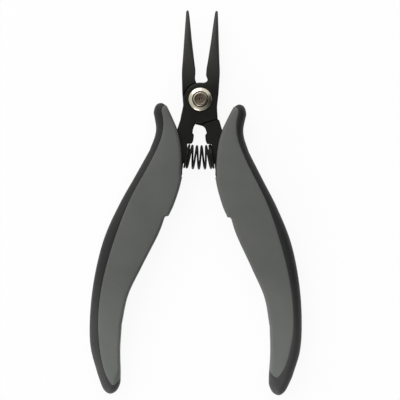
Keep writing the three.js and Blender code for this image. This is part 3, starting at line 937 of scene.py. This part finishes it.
def crossings(path, loop):
    """Where an open path crosses a closed loop: (place on path, place on loop, point) in path order."""
    found = []
    ends = np.roll(loop, -1, axis=0)
    for i, (p, q) in enumerate(zip(path, path[1:])):
        r = q - p
        s = ends - loop
        cross = r[0] * s[:, 1] - r[1] * s[:, 0]
        gap = loop - p
        along = (gap[:, 0] * s[:, 1] - gap[:, 1] * s[:, 0]) / cross
        across = (gap[:, 0] * r[1] - gap[:, 1] * r[0]) / cross
        for j in np.nonzero((along >= 0) & (along < 1) & (across >= 0) & (across < 1))[0]:
            found.append((i + along[j], j + across[j], p + along[j] * r))
    return sorted(found, key=lambda c: c[0])


def divide_grip(loop, seam):
    """The grip's outline divided by the seam: the core's region and the soft back's region."""
    regions = []
    for path in (seam, offset(seam, SEAM_GAP)):
        (s0, o0, p0), *_, (s1, o1, p1) = crossings(path, loop)
        middle = path[math.ceil(s0):math.floor(s1) + 1]
        regions.append((middle, o0, p0, o1, p1))
    count = len(loop)

    def walk(start, stop):
        first = math.floor(start) + 1
        last = math.floor(stop) if stop > start else math.floor(stop) + count
        return [loop[k % count] for k in range(first, last + 1)]

    middle, o0, p0, o1, p1 = regions[0]
    core = np.vstack([p0, middle, p1, *walk(o1, o0)])
    middle, o0, p0, o1, p1 = regions[1]
    back = np.vstack([p0, *walk(o0, o1), p1, middle[::-1]])
    return without_short_legs(core), without_short_legs(back)


def without_short_legs(loop, shortest=0.05):
    kept = [loop[0]]
    for point in loop[1:]:
        if np.linalg.norm(point - kept[-1]) > shortest:
            kept.append(point)
    if np.linalg.norm(kept[0] - kept[-1]) < shortest:
        kept.pop()
    return np.array(kept)


def tang_slot():
    """What is cut from a grip's core for the tang, open towards the spring."""
    outer = offset(TANG_OUTER, SLOT_GAP)
    inner = offset(TANG_INNER, SLOT_GAP)
    end = TANG_OUTER[-1, 1] - SLOT_GAP
    corners = [[outer[-1, 0], end], [inner[0, 0], end]]
    mouth = [[6, -30.4], [4, -28], [4, -9]]
    half_depth = STEEL_HALF + SLOT_GAP
    return prism(np.vstack([outer[:-1], corners, inner[1:], mouth]), -half_depth, half_depth)


SEAM_ROWS = (-0.22, -0.1, 0.12, 0.25)    # rows of points beside the seam, which shape its groove


def grip(side, grey, dark):
    """One grip: the hard core and the soft back, which meet in a shallow groove."""
    loop = grip_loop(side)
    seam = smooth(SEAM_TOP + SEAM_FOOT[side])
    core_region, back_region = divide_grip(loop[0], seam)
    relief = Relief(loop, GRIP_HALF, GRIP_CROWN, CROWN_REACH)

    def groove(points):
        gap, _ = nearest(points, seam, closed=False)
        return SEAM_DEPTH * np.clip(1 - gap / SEAM_WIDTH, 0, 1) ** 2

    rows = [(offset(seam, shift), np.ones(len(seam), bool), False) for shift in SEAM_ROWS]
    body = {"left": "front_arm", "right": "rear_arm"}[side]
    turn = turned_over if side == "left" else as_drawn
    core_solid = turn(relief_solid(relief, core_region, rows, groove))
    back_solid = turn(relief_solid(relief, back_region, rows, groove))
    core = make_object(f"{side}_core", core_solid, grey, SHARP_GRIP)
    carve(core, turn(tang_slot()), SHARP_GRIP)
    back = make_object(f"{side}_soft_back", back_solid, dark, SHARP_GRIP)
    place(core, body, "grip_grey", f"{side}_grip_core")
    place(back, body, "grip_dark", f"{side}_grip_soft_back")


# ---- Stage -----------------------------------------------------------------------------------

CAMERA_ROLL = 1.15          # degrees that the camera is turned about its own view
CAMERA_LENS = 200
CAMERA_SENSOR = 36
FIELD_SHARE = 1.0396        # the view's width over the pliers' length
VIEW_SHIFT = (0.66, 1.1)    # the view's centre, across and along from the box's centre, in mm
LAMP_AIM = (0, -0.05, 0)
FLOOR_SIZE = 6
FLOOR_DROP = 0.00005        # how far the floor lies below the grips
FLOOR_GLOW = 0.9            # share of the floor's look that is plain white; the rest takes the shadow

# Brightness of the studio's walls by compass angle: 0 is the right, 90 the far side.
WALLS = [
    (-180, 0.66), (-135, 0.62), (-90, 0.42), (-45, 0.1), (-15, 0.03), (27, 0.03), (36, 0.8), (90, 1.1),
    (180, 0.66),
]
CEILING = 0.36
WORLD_STRENGTH = 1.15


def add_floor():
    """A white sweep: mostly plain white to the camera, but it keeps the object's shadow."""
    bpy.ops.mesh.primitive_plane_add(size=FLOOR_SIZE, location=(0, 0, -FLOOR_DROP))
    floor = bpy.context.object
    floor.name = "floor"
    material = bpy.data.materials.new("white_sweep")
    material.use_nodes = True
    tree = material.node_tree
    tree.nodes.clear()
    seen = seen_directly(tree)
    surface = add_node(tree, "ShaderNodeBsdfDiffuse", {"Color": (0.86, 0.86, 0.86, 1)})
    glow = add_node(tree, "ShaderNodeEmission", {"Color": (1, 1, 1, 1), "Strength": 1.02})
    share = maths(tree, "MULTIPLY", seen, FLOOR_GLOW)
    mix = add_node(tree, "ShaderNodeMixShader", {"Fac": share})
    tree.links.new(surface.outputs[0], mix.inputs[1])
    tree.links.new(glow.outputs[0], mix.inputs[2])
    output = add_node(tree, "ShaderNodeOutputMaterial")
    tree.links.new(mix.outputs[0], output.inputs["Surface"])
    floor.data.materials.append(material)


def seen_directly(tree):
    """1 for what the camera sees, directly or in a reflection or through glass."""
    path = add_node(tree, "ShaderNodeLightPath")
    either = maths(tree, "MAXIMUM", path.outputs["Is Camera Ray"], path.outputs["Is Glossy Ray"])
    return maths(tree, "MAXIMUM", either, path.outputs["Is Transmission Ray"])


def add_world():
    """A studio as a dome: light walls on the left and far side, a dark one on the right."""
    world = bpy.data.worlds.new("studio")
    bpy.context.scene.world = world
    world.use_nodes = True
    tree = world.node_tree
    tree.nodes.clear()
    direction = add_node(tree, "ShaderNodeTexCoord").outputs["Generated"]
    parts = add_node(tree, "ShaderNodeSeparateXYZ", {"Vector": direction})
    azimuth = maths(tree, "ARCTAN2", parts.outputs["Y"], parts.outputs["X"])
    around = maths(tree, "MULTIPLY_ADD", azimuth, 0.5 / math.pi)
    around.node.inputs[2].default_value = 0.5
    walls = ramp(tree, around, [(degrees / 360 + 0.5, level) for degrees, level in WALLS])
    span = {"Value": parts.outputs["Z"], "From Min": 0.8, "From Max": 0.95}
    overhead = add_node(tree, "ShaderNodeMapRange", span, interpolation_type="SMOOTHSTEP")
    level = blend_colours(tree, overhead.outputs[0], walls, (CEILING, CEILING, CEILING))
    lighting = add_node(tree, "ShaderNodeBackground", {"Color": level, "Strength": WORLD_STRENGTH})
    white = add_node(tree, "ShaderNodeBackground", {"Color": (1, 1, 1, 1), "Strength": 1.0})
    seen = add_node(tree, "ShaderNodeLightPath").outputs["Is Camera Ray"]
    mix = add_node(tree, "ShaderNodeMixShader", {"Fac": seen})
    tree.links.new(lighting.outputs[0], mix.inputs[1])
    tree.links.new(white.outputs[0], mix.inputs[2])
    output = add_node(tree, "ShaderNodeOutputWorld")
    tree.links.new(mix.outputs[0], output.inputs["Surface"])


def add_lamp(name, location, size, watts):
    lamp = bpy.data.lights.new(name, "AREA")
    lamp.shape = "DISK"
    lamp.size = size
    lamp.energy = watts
    obj = bpy.data.objects.new(name, lamp)
    obj.location = location
    aim = Vector(LAMP_AIM) - obj.location
    obj.rotation_euler = aim.to_track_quat("-Z", "Y").to_euler()
    bpy.context.scene.collection.objects.link(obj)


def add_camera():
    """A long lens straight above, turned a little about its view."""
    low, high = (Vector(corner) for corner in cad_bounds)
    length = high.y - low.y
    camera = bpy.data.cameras.new("camera")
    camera.lens = CAMERA_LENS
    camera.sensor_width = CAMERA_SENSOR
    distance = length * FIELD_SHARE * camera.lens / camera.sensor_width
    obj = bpy.data.objects.new("camera", camera)
    middle = (low + high) / 2
    obj.location = (middle.x + VIEW_SHIFT[0] * MM, middle.y + VIEW_SHIFT[1] * MM, middle.z + distance)
    obj.rotation_euler = (0, 0, math.radians(CAMERA_ROLL))
    bpy.context.scene.collection.objects.link(obj)
    bpy.context.scene.camera = obj


# ---- Assembly --------------------------------------------------------------------------------

steel = black_steel()
plate = nickel()
browned = rivet_steel()

place(steel_half("front_steel", FRONT_HALF, steel), "front_arm", "black_steel", "front_half")
place(steel_half("rear_steel", REAR_HALF, steel, rear=True), "rear_arm", "black_steel", "rear_half")
place(make_object("pivot_rivet", rivet_solid(), browned, SHARP_TURNED), "front_arm", "rivet_steel", "rivet")
washer_front = make_object("washer_front", washer_solid(), plate, SHARP_TURNED)
place(washer_front, "front_arm", "nickel", "front_washer")
washer_rear = make_object("washer_rear", turned_over(washer_solid()), plate, SHARP_TURNED)
place(washer_rear, "front_arm", "nickel", "rear_washer")

spring = make_object("coil_spring", spring_solid(), spring_wire(), SHARP_WIRE)
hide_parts("return_spring")
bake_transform(spring)

grey_polymer = grip_grey()
soft_polymer = grip_dark()
for hand in ("left", "right"):
    grip(hand, grey_polymer, soft_polymer)

add_floor()
add_world()
add_lamp("key", (-0.24, 0.5, 0.42), 0.5, 1.7)
add_lamp("fill", (-0.2, -0.62, 0.17), 0.4, 1.5)
add_camera()
bpy.context.scene.view_settings.view_transform = "Standard"
